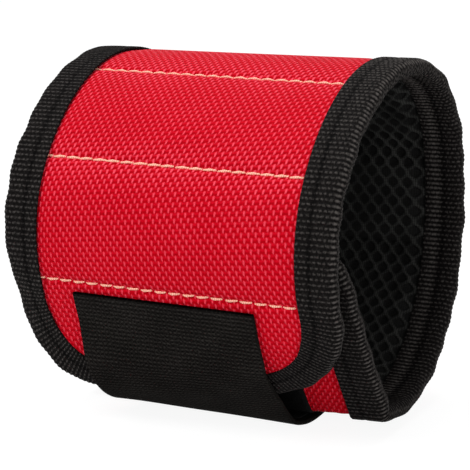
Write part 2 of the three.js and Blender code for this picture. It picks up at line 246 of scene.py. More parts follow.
def signed_volume(mesh, points):
    mesh.calc_loop_triangles()
    corners = np.zeros(len(mesh.loop_triangles) * 3, np.int32)
    mesh.loop_triangles.foreach_get("vertices", corners)
    a, b, c = np.moveaxis((points - points.mean(0))[corners.reshape(-1, 3)], 1, 0)
    return (a * np.cross(b, c)).sum()


def add_mesh(name, points, faces, pattern, material, shaped=None):
    """A closed mesh with its pattern map. shaped gives the normals of its first vertices, so that joins
    don't show."""
    mesh = bpy.data.meshes.new(name)
    mesh.from_pydata(np.asarray(points).tolist(), [], faces)
    inside_out = signed_volume(mesh, np.asarray(points)) < 0
    if inside_out:
        mesh.flip_normals()
    corners = np.zeros(len(mesh.loops), np.int32)
    mesh.loops.foreach_get("vertex_index", corners)
    uv = mesh.uv_layers.new(name="pattern")
    uv.data.foreach_set("uv", np.asarray(pattern, np.float32)[corners].ravel())
    mesh.polygons.foreach_set("use_smooth", np.ones(len(mesh.polygons), bool))
    mesh.materials.append(material)
    if shaped is not None:
        known = np.zeros((len(points), 3))
        known[: len(shaped)] = -shaped if inside_out else shaped
        mesh.normals_split_custom_set(known[corners].tolist())
    mesh.update()
    piece = bpy.data.objects.new(name, mesh)
    bpy.context.scene.collection.objects.link(piece)
    return piece


def closed_shell(name, front, shaped, back, steps, pattern, material):
    """A front grid and a back grid that may be coarser, closed all round. steps are the front's rows and
    columns for one of the back."""
    rows, columns = front.shape[:2]
    back_rows, back_columns = back.shape[:2]
    row_step, column_step = steps
    first = rows * columns
    faces = quads(rows, columns)
    faces += [face[::-1] for face in quads(back_rows, back_columns, first)]
    index = np.arange(first).reshape(rows, columns)
    back_index = np.arange(back_rows * back_columns).reshape(back_rows, back_columns) + first
    sides = [
        (index[:, 0], back_index[:, 0], row_step, False),
        (index[:, -1], back_index[:, -1], row_step, True),
        (index[0], back_index[0], column_step, True),
        (index[-1], back_index[-1], column_step, False),
    ]
    for edge, back_edge, step, turn in sides:
        for k in range(len(back_edge) - 1):
            run = edge[k * step : (k + 1) * step + 1].tolist()
            face = run + [int(back_edge[k + 1]), int(back_edge[k])]
            faces.append(face[::-1] if turn else face)
    points = np.concatenate([front.reshape(-1, 3), back.reshape(-1, 3)])
    return add_mesh(name, points, faces, pattern, material, shaped.reshape(-1, 3))


def tube_faces(rows, columns):
    """Faces of closed rings of points in a row, with flat ends."""
    ends = [list(range(columns))[::-1], [(rows - 1) * columns + k for k in range(columns)]]
    return quads(rows, columns, wrap=True) + ends


def tube(name, rings, pattern, material, shaped):
    """Closed rings of points as one piece, with the normals of its points."""
    points, normals = rings.reshape(-1, 3), shaped.reshape(-1, 3)
    return add_mesh(name, points, tube_faces(*rings.shape[:2]), pattern.reshape(-1, 2), material, normals)


def joined(name, parts, material):
    """Several closed meshes, each given as points, faces and pattern, as one piece."""
    points, faces, pattern, first = [], [], [], 0
    for part_points, part_faces, part_pattern in parts:
        points.append(part_points.reshape(-1, 3))
        faces += [[first + i for i in face] for face in part_faces]
        pattern.append(part_pattern.reshape(-1, 2))
        first += len(points[-1])
    return add_mesh(name, np.concatenate(points), faces, np.concatenate(pattern), material)


def follow(piece, k):
    """Length k of the band: length 0 is attached to the flap's body, and the others keep their places. The
    points either side of the seam that they start with are worked out but not used.
    """
    if k == 0:
        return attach(piece, BODIES[0])
    seam = SEAMS[k - 1]
    start = bend(0, seam - BEND_REACH, 0).tolist()
    end = bend(0, seam + BEND_REACH, 0).tolist()
    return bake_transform(piece)


def spread(first, last, step, multiple=1):
    """Even stations between two lengths, with one more outside each end for the normals."""
    count = multiple * max(1, round(abs(last - first) / step / multiple))
    inside = np.linspace(first, last, count + 1)
    gap = inside[1] - inside[0]
    return np.concatenate([[first - gap], inside, [last + gap]])


def piece_span(k, edge):
    """Where length k of a layer starts and ends, if the layer stops an edge short of the band's ends."""
    first = edge if k == 0 else PIECE_ENDS[k]
    last = BAND_LENGTH - edge if k == LAST else PIECE_ENDS[k + 1]
    return first, last


def layer_grid(k, edge, step, columns, multiple=1):
    """Pattern places of length k of a layer."""
    s = spread(*piece_span(k, edge), step, multiple)[:, None]
    x = np.linspace(-1, 1, columns)[None, :] * half_width(s, edge)
    return x, np.broadcast_to(s, x.shape)


# Materials

class Graph:
    """A short way to write node materials."""

    def __init__(self, name):
        self.material = bpy.data.materials.new(name)
        self.material.use_nodes = True
        self.tree = self.material.node_tree
        self.shader = self.tree.nodes["Principled BSDF"]
        self.place = None

    def add(self, kind):
        return self.tree.nodes.new(f"ShaderNode{kind}")

    def put(self, socket, value):
        if isinstance(value, bpy.types.NodeSocket):
            self.tree.links.new(value, socket)
        else:
            socket.default_value = value

    def set(self, **values):
        for name, value in values.items():
            self.put(self.shader.inputs[name.replace("_", " ")], value)

    def math(self, operation, a, b=0.0, c=0.0):
        node = self.add("Math")
        node.operation = operation
        for socket, value in zip(node.inputs, (a, b, c)):
            self.put(socket, value)
        return node.outputs[0]

    def times(self, a, b):
        return self.math("MULTIPLY", a, b)

    def pattern(self):
        """The two coordinates of the pattern map, in millimetres."""
        uv = self.add("UVMap")
        uv.uv_map = "pattern"
        parts = self.add("SeparateXYZ")
        self.tree.links.new(uv.outputs[0], parts.inputs[0])
        self.place = uv.outputs[0]
        return parts.outputs[0], parts.outputs[1]

    def wave(self, value, period, shift=0.0):
        return self.math("COSINE", self.math("MULTIPLY_ADD", value, 2 * math.pi / period, shift))

    def noise(self, scale, detail=2.0, rough=0.5, place=None):
        node = self.add("TexNoise")
        self.put(node.inputs["Vector"], self.place if place is None else place)
        node.inputs["Scale"].default_value = scale
        node.inputs["Detail"].default_value = detail
        node.inputs["Roughness"].default_value = rough
        return node.outputs["Fac"]

    def total(self, *weighted):
        """A sum of values, each with its weight."""
        whole = 0.0
        for value, weight in weighted:
            whole = self.math("MULTIPLY_ADD", value, weight, whole)
        return whole

    def ramp(self, value, *stops):
        node = self.add("ValToRGB")
        self.put(node.inputs[0], value)
        while len(node.color_ramp.elements) < len(stops):
            node.color_ramp.elements.new(1.0)
        for element, (place, colour) in zip(node.color_ramp.elements, stops):
            element.position = place
            element.color = (*colour, 1.0)
        return node.outputs[0]

    def span(self, value, low, high, to_low, to_high):
        node = self.add("MapRange")
        for socket, given in zip(node.inputs, (value, low, high, to_low, to_high)):
            self.put(socket, given)
        return node.outputs[0]

    def band(self, value, middle, reach):
        """1 along a line and falling off beside it."""
        away = self.math("DIVIDE", self.math("SUBTRACT", value, middle), reach)
        return self.math("EXPONENT", self.times(self.times(away, away), -1.0))

    def bump(self, height, depth):
        node = self.add("Bump")
        node.inputs["Distance"].default_value = depth * MM
        self.put(node.inputs["Height"], height)
        self.put(self.shader.inputs["Normal"], node.outputs[0])


def red_cover():
    """A plain weave: slivers of warp over darker cross yarns. The slivers' brightest colour is a painted
    highlight. The cross yarns carry painted light on the upper half of each row and painted shade on the
    lower half. A painted highlight brightens the slivers near the stitch rows. It is weak on the flap,
    fades over the last panel, and turns a little darker past the closure fold."""
    g = Graph("red_woven_cover")
    x, s = g.pattern()
    # Painted highlight: the slivers are brightened near the stitch rows. This is weak on the flap, fades
    # over the last panel, and is a little darker past the closure fold.
    near_row = g.math("ABSOLUTE", g.wave(g.math("SUBTRACT", s, SEAMS[0]), 2 * PANEL_LENGTH))
    seam_highlight = g.math("MULTIPLY_ADD", g.math("POWER", near_row, 8.0), 0.72, 0.28)
    seam_highlight = g.times(seam_highlight, g.span(s, SEAMS[0], SEAMS[1], 0.15, 1.0))
    seam_highlight = g.times(seam_highlight, g.span(s, SEAMS[6], SEAMS[7], 1.0, -0.3))
    turn_starts, turn_ends = SEAMS[0] + 10.0, SEAMS[1] + 6.0
    turn = g.span(s, turn_starts, turn_ends, YARN_TURN, -YARN_TURN)
    x = g.math("MULTIPLY_ADD", g.noise(0.22, 2.0), 0.4, g.math("MULTIPLY_ADD", s, WARP_LEAN, x))
    s = g.math("MULTIPLY_ADD", g.noise(0.31, 2.0), 0.3, g.math("MULTIPLY_ADD", x, WEFT_LEAN, s))
    place = g.times(x, 1 / WEAVE_ACROSS)
    column = g.math("FLOOR", g.math("ADD", place, 0.5))
    yarn = g.math("POWER", g.math("ABSOLUTE", g.wave(place, 2.0)), 1.5)
    turned = g.math("MULTIPLY_ADD", g.math("SUBTRACT", place, column), turn, column)
    rise = g.wave(g.math("MULTIPLY_ADD", s, 1 / WEAVE_ALONG, turned), 2.0)
    sliver = g.times(yarn, g.span(rise, -0.5, 0.5, 0.0, 1.0))
    between = g.span(sliver, 0.1, 0.7, 1.0, 0.0)
    # Painted light and shade: between the slivers, the upper half of each row is lighter and the lower
    # half darker, as if lit from above.
    weft_light_and_shade = g.times(between, g.wave(s, WEAVE_ALONG, -math.pi / 2))
    fuzz = g.noise(3.2, 3.0, 0.6)
    tone = g.total((sliver, 0.43), (weft_light_and_shade, 0.15), (fuzz, 0.24), (g.noise(0.06, 2.0), 0.16))
    highlighted_slivers = g.times(seam_highlight, g.total((sliver, 0.36), (weft_light_and_shade, 0.08)))
    tone = g.total((tone, 1.0), (highlighted_slivers, 1.0), (seam_highlight, -0.02), (0.1, 1.0))
    # The brightest colour is a painted highlight on the slivers, in place of a specular one. The darkest
    # colour is painted shade under the cross yarns.
    gap, plain, sliver_highlight = (0.37, 0.0002, 0.004), (0.56, 0.0014, 0.011), (0.85, 0.070, 0.110)
    g.set(Base_Color=g.ramp(tone, (0.14, gap), (0.46, plain), (0.88, sliver_highlight)))
    g.set(Roughness=g.span(sliver, 0.0, 1.0, 0.62, 0.40), Specular_IOR_Level=0.014)
    g.set(Sheen_Weight=0.06, Sheen_Roughness=0.35, Sheen_Tint=(1.0, 0.42, 0.50, 1.0))
    g.bump(g.total((sliver, 0.9), (rise, 0.12), (fuzz, 0.14)), 0.21)
    return g.material


def black_tape():
    """Ribs broken into dashes, with beads along both sides of the fold and a brighter inner rim, all
    painted highlights on the rib crests and round the fold.
    """
    g = Graph("black_ribbed_tape")
    along, across = g.pattern()
    row = g.math("FLOOR", g.math("MULTIPLY_ADD", along, 1 / RIB_PITCH, 0.5))
    drift = g.math("MULTIPLY_ADD", g.noise(0.7, 2.0), 1.1, across)
    brick = g.math("MULTIPLY_ADD", row, TAPE_DASH / 2, drift)
    shaken = g.math("MULTIPLY_ADD", g.noise(1.1, 2.0), 0.28, along)
    crest = g.math("ABSOLUTE", g.wave(shaken, 2 * RIB_PITCH))
    rib = g.math("POWER", crest, 3.5)
    # Painted highlight: the dashes sit on the crests of the ribs only.
    dash = g.times(rib, g.span(g.wave(brick, TAPE_DASH), -0.8, 0.1, 0.3, 1.0))
    dash = g.times(dash, g.span(g.noise(1.3, 3.0, 0.7), 0.3, 0.7, 0.35, 1.15))
    fuzz = g.noise(2.0, 4.0, 0.75)
    valley = g.math("ABSOLUTE", g.wave(shaken, 2 * RIB_PITCH, math.pi / 2))
    # Painted highlights: beads of light along both sides of the fold, and on the rib crests at the inner
    # rim.
    bead_aside, bead_reach, rim_width, rim_reach = 0.85, 0.6, 1.4, 1.5
    outer_beads = g.band(across, FOLD_AROUND - bead_aside, bead_reach)
    outer_beads = g.times(outer_beads, g.math("POWER", crest, 3.0))
    inner_beads = g.band(across, FOLD_AROUND + bead_aside, bead_reach)
    inner_beads = g.times(inner_beads, g.math("POWER", valley, 4.0))
    inner_rim = g.band(across, TAPE_AROUND - rim_width, rim_reach)
    inner_rim = g.times(inner_rim, g.math("POWER", crest, 2.0))
    outer_sewn = g.band(across, TAPE_SEWN_AROUND, 0.55)
    inner_sewn = g.band(across, TAPE_AROUND - TAPE_SEWN_AROUND, 0.7)
    wear = g.noise(0.35, 2.0)
    tone = g.total((dash, 0.38), (fuzz, 0.85), (wear, 0.14), (outer_beads, 0.34), (inner_beads, 0.28))
    tone = g.total((tone, 1.0), (inner_rim, 0.24), (outer_sewn, -0.14), (inner_sewn, -0.14))
    tone = g.math("ADD", tone, -0.12)
    # The brightest colour is reached by the painted highlights of the dashes, beads and rim, and by the
    # wear and fuzz.
    low, plain, brightest = (0.0015, 0.0013, 0.0013), (0.0064, 0.0055, 0.0053), (0.088, 0.079, 0.074)
    g.set(Base_Color=g.ramp(tone, (0.20, low), (0.44, plain), (0.92, brightest)))
    g.set(Roughness=g.span(tone, 0.1, 0.9, 0.85, 0.55), Specular_IOR_Level=0.028)
    g.bump(g.total((dash, 0.7), (fuzz, 0.45)), 0.28)
    return g.material


def black_mesh():
    """Paler cords round holes darkened with painted shade, on the same net as the holes of the lining."""
    g = Graph("black_air_mesh")
    x, s = g.pattern()
    knit = g.total((g.wave(x, 0.52), 0.2), (g.wave(s, 0.44), 0.2), (g.noise(1.8, 3.0, 0.6), 0.4))
    height = g.math("ADD", knit, 0.3)
    u = g.times(x, 1 / MESH_ACROSS)
    swing = g.wave(s, MESH_ALONG / 2, -math.pi / 2)
    v = g.math("MULTIPLY_ADD", swing, -MESH_SWING, g.times(s, 1 / MESH_ALONG))
    falling = g.span(g.wave(g.math("SUBTRACT", u, v), 1.0), -0.95, -0.35, 1.0, 0.14)
    rising = g.span(g.wave(g.math("ADD", u, v), 1.0), -0.95, -0.35, 0.68, 0.14)
    tone = g.times(height, g.math("MAXIMUM", falling, rising))
    uneven = g.span(g.noise(0.09, 2.0), 0.32, 0.68, 0.55, 1.45)
    tone = g.times(tone, uneven)
    # The hole colour is painted shade: the cords and the holes are the same black net.
    hole, cord = (0.0012, 0.0012, 0.0011), (0.032, 0.032, 0.030)
    g.set(Base_Color=g.ramp(tone, (0.0, hole), (0.8, cord)))
    g.set(Roughness=0.8, Specular_IOR_Level=0.08)
    g.bump(height, 0.12)
    return g.material


def black_strap():
    g = Graph("black_strap_weave")
    x, s = g.pattern()
    s = g.math("MULTIPLY_ADD", g.noise(0.25, 2.0), 0.7, s)
    row_pitch, column_pitch = 1.15, 1.2
    rows, columns = g.wave(s, row_pitch), g.wave(x, column_pitch)
    fuzz = g.noise(1.9, 4.0, 0.8)
    height = g.total((g.times(rows, columns), 0.08), (rows, 0.09), (fuzz, 1.0))
    tone = g.total((height, 0.9), (g.noise(0.09, 2.0), 0.2))
    low, plain, brightest = (0.0020, 0.0018, 0.0017), (0.0078, 0.0070, 0.0064), (0.032, 0.029, 0.0265)
    g.set(Base_Color=g.ramp(tone, (0.32, low), (0.54, plain), (0.80, brightest)))
    g.set(Roughness=0.85, Specular_IOR_Level=0.01)
    g.bump(height, 0.12)
    return g.material


def black_fibre(name, low, high, rough):
    g = Graph(name)
    along, around = g.pattern()
    tone = g.total((g.noise(1.6, 3.0, 0.6), 0.8), (g.wave(along, 0.5), 0.1), (g.wave(around, 1.0), 0.05))
    g.set(Base_Color=g.ramp(tone, (0.2, (low, low, low)), (0.75, (high, high, high * 0.98))))
    g.set(Roughness=rough, Specular_IOR_Level=0.04)
    g.bump(tone, 0.05)
    return g.material


def pale_thread():
    g = Graph("pale_sewing_thread")
    along, around = g.pattern()
    ply_pitch = 0.55
    ply = g.wave(g.math("MULTIPLY_ADD", along, 1 / ply_pitch, around), 1.0)
    height = g.total((ply, 0.35), (g.noise(4.0, 2.0), 0.3))
    height = g.math("ADD", height, 0.35)
    # The darkest colour is painted shade in the grooves between the plies.
    groove_shade, plain, pale = (0.60, 0.21, 0.12), (0.94, 0.42, 0.29), (1.0, 0.61, 0.48)
    g.set(Base_Color=g.ramp(height, (0.0, groove_shade), (0.5, plain), (1.0, pale)))
    g.set(Roughness=0.45, Specular_IOR_Level=0.45)
    g.bump(height, 0.06)
    return g.material


def magnet_steel():
    g = Graph("plated_magnet")
    place = g.add("TexCoord").outputs["Object"]
    stretch = g.add("Mapping")
    g.put(stretch.inputs["Vector"], place)
    stretch.inputs["Scale"].default_value = (40, 900, 900)
    grain = g.noise(1.0, 3.0, 0.6, stretch.outputs[0])
    dark, light = (0.36, 0.37, 0.38), (0.52, 0.53, 0.54)
    g.set(Base_Color=g.ramp(grain, (0.3, dark), (0.7, light)))
    g.set(Metallic=1.0, Roughness=g.span(grain, 0.3, 0.7, 0.24, 0.4))
    g.bump(grain, 0.01)
    return g.material


RED = red_cover()
TAPE = black_tape()
MESH = black_mesh()
STRAP = black_strap()
THREAD = pale_thread()
STEEL = magnet_steel()
HOOKS = black_fibre("black_hook_tape", 0.006, 0.018, 0.45)
LOOPS = black_fibre("black_loop_tape", 0.002, 0.007, 0.85)


# Red cover: how it swells between the stitch rows, dips and puckers at them and lies a little unevenly,
# how far it stops short of the band's edge, its grid, its thickness and how far its hidden side follows
PILLOW = 0.50
PILLOW_REACH = 5.5
PILLOW_ENDS = (30.0, 36.0)
ROW_DIP = 0.58
ROW_DIP_REACH = 0.85
PUCKER = 0.10
PUCKER_REACH = 2.0
UNEVEN = 0.12
COVER_EDGE = 1.6
COVER_STEP = 0.6
COVER_COLUMNS = 131
COVER_THICK = 0.62
COVER_FOLLOWS = 0.6


def cover_depth(x, s):
    away = row_distance(x, s)
    inside = 1 - smooth(*PILLOW_ENDS, np.abs(x))
    pillow = -PILLOW * (1 - bell(away / PILLOW_REACH)) * inside
    dip = ROW_DIP * bell(away / ROW_DIP_REACH)
    pucker = PUCKER * np.cos(2 * np.pi * x / STITCH_PITCH) * bell(away / PUCKER_REACH)
    soft = UNEVEN * np.sin(0.11 * x + 0.07 * s) * np.sin(0.16 * s + 0.4)
    return pillow + dip + pucker + soft * inside


covers = []
for k, body in enumerate(BODIES):
    x, s = layer_grid(k, COVER_EDGE, COVER_STEP, COVER_COLUMNS)
    depth = cover_depth(x, s)
    outside = bend(x, s, depth)
    shaped = grid_normals(outside)[1:-1]
    inside = bend(x, s, depth * COVER_FOLLOWS + COVER_THICK)[1:-1]
    flat = np.stack([x, s], -1)[1:-1].reshape(-1, 2)
    pattern = np.concatenate([flat, flat])
    piece = closed_shell(f"cover_{body}", outside[1:-1], shaped, inside, (1, 1), pattern, RED)
    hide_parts(f"{body}_cover")
    follow(piece, k)
    covers.append(piece)


# Binding tape: the radius and place of its fold, half its thickness, how far in it reaches, how its rims
# round off and thin, and where its flat part runs
TAPE_FOLD = 1.76
TAPE_FOLD_INWARD = 2.1
TAPE_FOLD_DEPTH = 1.1
TAPE_HALF_THICK = 0.34
TAPE_REACHES = 10.08
TAPE_RIM = 0.4
TAPE_THINS = 9.7
TAPE_THINS_OVER = 0.42
TAPE_FLAT = (9.5, 2.3)

# The tape's relief: its ribs, the dents of its sewing, and how it narrows round the flap's end and wavers
RIB_HEIGHT = 0.075
RIB_SHARPNESS = 0.7
SEWN_REACH = 0.5
SEWN_DEPTH = 0.12
SEWN_DENT = 0.08
SEWN_PITCH = 3.2
TAPE_NARROWS = 0.13
TAPE_NARROWS_OVER = 6.0
WAVER = 0.16
SLOW_WAVER = 0.12
WAVER_REACH = 3.5
TAPE_MOST_OUT = -0.3
EDGE_ROLL = 0.16
EDGE_ROLL_REACH = 3.0
RINGS_PER_RIB = 6


def edge_place(run):
    """A place on the band's edge and the direction in from it. run starts at the middle of the flap's
    end, positive on the right, and goes on past the middle of the inner end."""
    side = np.where(run < 0, -1.0, 1.0) * np.where(np.abs(run) > HALF_EDGE, -1.0, 1.0)
    run = HALF_EDGE - np.abs(np.abs(run) - HALF_EDGE)
    a = np.clip((run - FLAP_FLAT) / FLAP_CORNER, 0, math.pi / 2)
    b = np.clip((run - SIDE_ENDS) / INNER_CORNER, 0, math.pi / 2)
    x = np.minimum(run, FLAP_FLAT) + FLAP_CORNER * np.sin(a) - INNER_CORNER * (1 - np.cos(b))
    x -= np.clip(run - SIDE_ENDS - INNER_CORNER * math.pi / 2, 0, None)
    s = FLAP_CORNER * (1 - np.cos(a)) + np.clip(run, SIDE_STARTS, SIDE_ENDS) - SIDE_STARTS
    s = s + INNER_CORNER * np.sin(b)
    on_flap = run < SIDE_STARTS
    towards_x = np.where(on_flap, -np.sin(a), -np.cos(b))
    towards_s = np.where(on_flap, np.cos(a), -np.sin(b))
    return side * x, s, side * towards_x, towards_s


def edge_run(s):
    """The run along the edge at which it reaches a length."""
    if s < FLAP_CORNER:
        return FLAP_FLAT + FLAP_CORNER * math.acos(1 - s / FLAP_CORNER)
    return SIDE_STARTS + s - FLAP_CORNER


def tape_section():
    """Points round the folded tape: distance in from the edge and depth, their outward directions, and
    how much of the ribs shows there."""
    rim = TAPE_REACHES - TAPE_RIM * (1 - np.cos(np.linspace(0, 1.4, 4)))
    flat = np.concatenate([rim, np.linspace(*TAPE_FLAT, 15)])
    angle = np.linspace(-math.pi / 2, math.pi / 2, 17)
    inward = np.concatenate([flat, TAPE_FOLD_INWARD - TAPE_FOLD * np.cos(angle), flat[::-1]])
    depth = np.concatenate([0 * flat - TAPE_FOLD, TAPE_FOLD * np.sin(angle), 0 * flat + TAPE_FOLD])
    depth = depth + TAPE_FOLD_DEPTH
    round_fold = np.stack([-np.cos(angle), np.sin(angle)], -1)
    out = np.concatenate([[[0, -1]] * flat.size, round_fold, [[0, 1]] * flat.size])
    past = (inward - TAPE_THINS) / TAPE_THINS_OVER
    full = np.sqrt(np.clip(1 - past ** 2 * (inward > TAPE_THINS), 0.03, 1))
    thick = TAPE_HALF_THICK * full
    centre = np.stack([inward, depth], -1)
    outer = centre + out * thick[:, None]
    inner = (centre - out * thick[:, None])[::-1]
    shows = np.clip((thick / TAPE_HALF_THICK - 0.4) / 0.5, 0, 1)
    points = np.concatenate([outer, inner])
    directions = np.concatenate([out, -out[::-1]])
    return points, directions, np.concatenate([shows, 0 * shows])


SECTION, SECTION_OUT, SECTION_RIBS = tape_section()
SECTION_AROUND = np.concatenate([[0], np.cumsum(np.linalg.norm(np.diff(SECTION, axis=0), axis=1))])


def tape_rings(run):
    """Tape sections along the band's edge."""
    x, s, towards_x, towards_s = (v[:, None] for v in edge_place(run))
    run = run[:, None]
    on_side = smooth(0.6 * SIDE_STARTS, SIDE_STARTS + TAPE_NARROWS_OVER, np.abs(run))
    narrower = 1 - TAPE_NARROWS * (1 - on_side)
    rib = np.cos(2 * np.pi * run / RIB_PITCH)
    rib = RIB_HEIGHT * np.sign(rib) * np.abs(rib) ** RIB_SHARPNESS
    sewn = bell((SECTION[:, 0] - TAPE_SEWN) / SEWN_REACH)[None, :]
    dent = SEWN_DEPTH + SEWN_DENT * np.cos(2 * np.pi * run / SEWN_PITCH)
    lift = (rib * (1 - 0.5 * sewn) - sewn * dent) * SECTION_RIBS[None, :]
    wave = WAVER * np.sin(run * 0.71 + 0.6 * np.sin(run * 0.13)) + SLOW_WAVER * np.sin(run * 0.29 + 1.0)
    near_fold = bell(SECTION[None, :, 0] / WAVER_REACH)
    inward = SECTION[None, :, 0] * narrower + lift * SECTION_OUT[None, :, 0] + wave * near_fold
    inward = np.maximum(inward, TAPE_MOST_OUT)
    depth = SECTION[None, :, 1] + lift * SECTION_OUT[None, :, 1]
    depth = depth + EDGE_ROLL * np.sin(run * 0.43 + 2.0) * np.exp(-inward / EDGE_ROLL_REACH)
    rings = bend(x + towards_x * inward, s + towards_s * inward, depth)
    pattern = np.stack(np.broadcast_arrays(run, SECTION_AROUND[None, :]), -1)
    return rings, pattern


for k, body in enumerate(BODIES):
    if k == 0:
        last = edge_run(PIECE_ENDS[1])
        runs = {"": (last, -last)}
    elif k == LAST:
        first = edge_run(PIECE_ENDS[LAST])
        runs = {"": (first, 2 * HALF_EDGE - first)}
    else:
        first, last = edge_run(PIECE_ENDS[k]), edge_run(PIECE_ENDS[k + 1])
        runs = {"_left": (-first, -last), "_right": (first, last)}
    for side, (first, last) in runs.items():
        rings, pattern = tape_rings(spread(first, last, RIB_PITCH / RINGS_PER_RIB))
        shaped = grid_normals(rings, closed=True)[1:-1]
        piece = tube(f"binding_{body}{side}", rings[1:-1], pattern[1:-1], TAPE, shaped)
        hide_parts(f"{body}_binding{side}")
        follow(piece, k)


# Air-mesh lining: its inside at the edges, how its padding rises, swells between the stitch rows and dips
# at them, its hidden side, how far it stops short of the band's edge, and its grid, coarser where hidden
LINING_INSIDE = 2.35
PAD_RISE = 1.1
PAD_SWELL = 1.55
PAD_REACH = 7.5
PAD_ENDS = (31.0, 35.8)
PAD_DIP = 0.35
PAD_DIP_REACH = 0.9
LINING_OUTSIDE = 1.0
LINING_EDGE = 1.6
LINING_STEP = 0.42
LINING_COLUMNS = 213
LINING_COARSER = 4

# The holes of its net: their rims on the net's wave, where they end, their depth, and the share of the
# padding that they may take, less a little
HOLE_RIM = (-0.85, -0.1)
HOLE_ENDS = (33.5, 35.5)
HOLE_DEPTH = 0.75
HOLE_SHARE = 0.5
HOLE_SPARE = 0.1

# Pockets for the magnets: their panels, their place on both sides, half sizes and depth, and a margin
MAGNET_PANELS = (1, 2, 3, 4, 5)
POCKET_ASIDE = 17.0
POCKET_HALF_WIDTH = 13.4
POCKET_HALF_LENGTH = 9.4
POCKET_DEPTH = 3.95
POCKET_MARGIN = 1.2


def pad_depth(x, s):
    """Depth of the lining's inside, without its holes."""
    padded = ((s > SEAMS[0]) & (s < SEAMS[-1])).astype(float)
    away = row_distance(x, s)
    rise = 1 - smooth(*PAD_ENDS, np.abs(x))
    full = LINING_INSIDE + (PAD_RISE + PAD_SWELL * (1 - bell(away / PAD_REACH))) * rise * padded
    return full - PAD_DIP * bell(away / PAD_DIP_REACH) * padded


def hole_depth(x, s):
    """0 on the cords and 1 in the holes between them."""
    u, v = x / MESH_ACROSS, s / MESH_ALONG
    v = v - MESH_SWING * np.sin(4 * np.pi * v)
    net = np.minimum(np.cos(2 * np.pi * (u + v)), np.cos(2 * np.pi * (u - v)))
    hole = smooth(*HOLE_RIM, net)
    return hole * (1 - smooth(*HOLE_ENDS, np.abs(x)))


def back_depth(x, s, margin):
    """Depth of the lining's hidden side, with room for the magnets and a margin round them."""
    depth = np.full_like(x, LINING_OUTSIDE)
    across = np.abs(np.abs(x) - POCKET_ASIDE) < POCKET_HALF_WIDTH + margin
    for number in MAGNET_PANELS:
        middle = SEAMS[number - 1] + LENGTHS[number] / 2
        along = np.abs(s - middle) < POCKET_HALF_LENGTH + margin
        depth = np.where(across & along, POCKET_DEPTH, depth)
    return depth


for k, body in enumerate(BODIES):
    x, s = layer_grid(k, LINING_EDGE, LINING_STEP, LINING_COLUMNS, LINING_COARSER)
    pad = pad_depth(x, s)
    thick = np.clip(pad - back_depth(x, s, POCKET_MARGIN) - HOLE_SPARE, 0, None)
    inside = bend(x, s, pad - hole_depth(x, s) * np.minimum(HOLE_DEPTH, HOLE_SHARE * thick))
    shaped = grid_normals(inside)[1:-1]
    flat = np.stack([x, s], -1)[1:-1]
    coarse = flat[::LINING_COARSER, ::LINING_COARSER]
    back_x, back_s = coarse[..., 0], coarse[..., 1]
    outside = bend(back_x, back_s, back_depth(back_x, back_s, 0.0))
    pattern = np.concatenate([flat.reshape(-1, 2), coarse.reshape(-1, 2)])
    steps = (LINING_COARSER, LINING_COARSER)
    piece = closed_shell(f"lining_{body}", inside[1:-1], shaped, outside, steps, pattern, MESH)
    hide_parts(f"{body}_lining")
    follow(piece, k)


# Stitches: their length, shorter in the first row, their slant and how much they vary, how far a row runs
# on under the tape, and the thread with its two plies, which sinks in at a stitch's ends
STITCH_LENGTH = 4.0
FIRST_ROW_STITCH = 3.55
STITCH_SLANT = 0.16
START_VARIES = 0.12
LENGTH_VARIES = 0.15
SLANT_VARIES = 0.06
ROW_UNDER_TAPE = 1.5
ROW_SEED = 40
THREAD_THIN = 0.13
THREAD_SWELL = 0.15
THREAD_FLATTER = 1.15
THREAD_SINKS = 0.20
THREAD_RISES = 0.34
PLY_DEPTH = 0.16
PLY_TURNS = 2.2


def stitch_parts(k):
    """The stitches of row k."""
    seam, offset, lean = SEAMS[k - 1], ROW_OFFSET[k - 1], ROW_LEAN[k - 1]
    reach = HALF_WIDTH - TAPE_WIDTH + ROW_UNDER_TAPE
    length = FIRST_ROW_STITCH if k == 1 else STITCH_LENGTH
    count = int(2 * reach // STITCH_PITCH) + 1
    first = -count * STITCH_PITCH / 2
    chance = np.random.default_rng(ROW_SEED + k)
    t = np.linspace(0, 1, 13)[:, None]
    turn = np.linspace(0, 2 * np.pi, 10, endpoint=False)[None, :]
    arch = np.sin(np.pi * t) ** 0.4
    ply = 1 + PLY_DEPTH * np.cos(2 * (turn - PLY_TURNS * np.pi * t))
    radius = THREAD_THIN + THREAD_SWELL * arch
    for n in range(count):
        start = first + n * STITCH_PITCH + chance.uniform(-START_VARIES, START_VARIES)
        long = length + chance.uniform(-LENGTH_VARIES, LENGTH_VARIES)
        slant = STITCH_SLANT + chance.uniform(-SLANT_VARIES, SLANT_VARIES)
        x = start + long * t
        line = seam + offset + lean * x + slant * (2 * t - 1)
        rise = cover_depth(x, line) + THREAD_SINKS - THREAD_RISES * arch
        across = line + radius * ply * np.cos(turn) * THREAD_FLATTER
        depth = rise - radius * ply * np.sin(turn)
        rings = bend(np.broadcast_to(x, across.shape), across, depth)
        pattern = np.stack(np.broadcast_arrays(x, turn / (2 * np.pi)), -1)
        yield rings, tube_faces(t.size, turn.size), pattern


for k in range(1, LAST + 1):
    piece = joined(f"stitches_{k}", stitch_parts(k), THREAD)
    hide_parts(f"seam_thread_{k}")
    follow(piece, k)


# Strap: its half width, thickness and round edges, its place across the band at the top and below, and
# where its upper end lies on the flap and how far its lean goes on
STRAP_HALF = 24.7
STRAP_THICK = 1.1
STRAP_EDGE = 0.45
STRAP_SHIFT = -1.5
STRAP_ASIDE = -2.0
STRAP_TOP = 29.8
STRAP_LEANS_OVER = 30.0

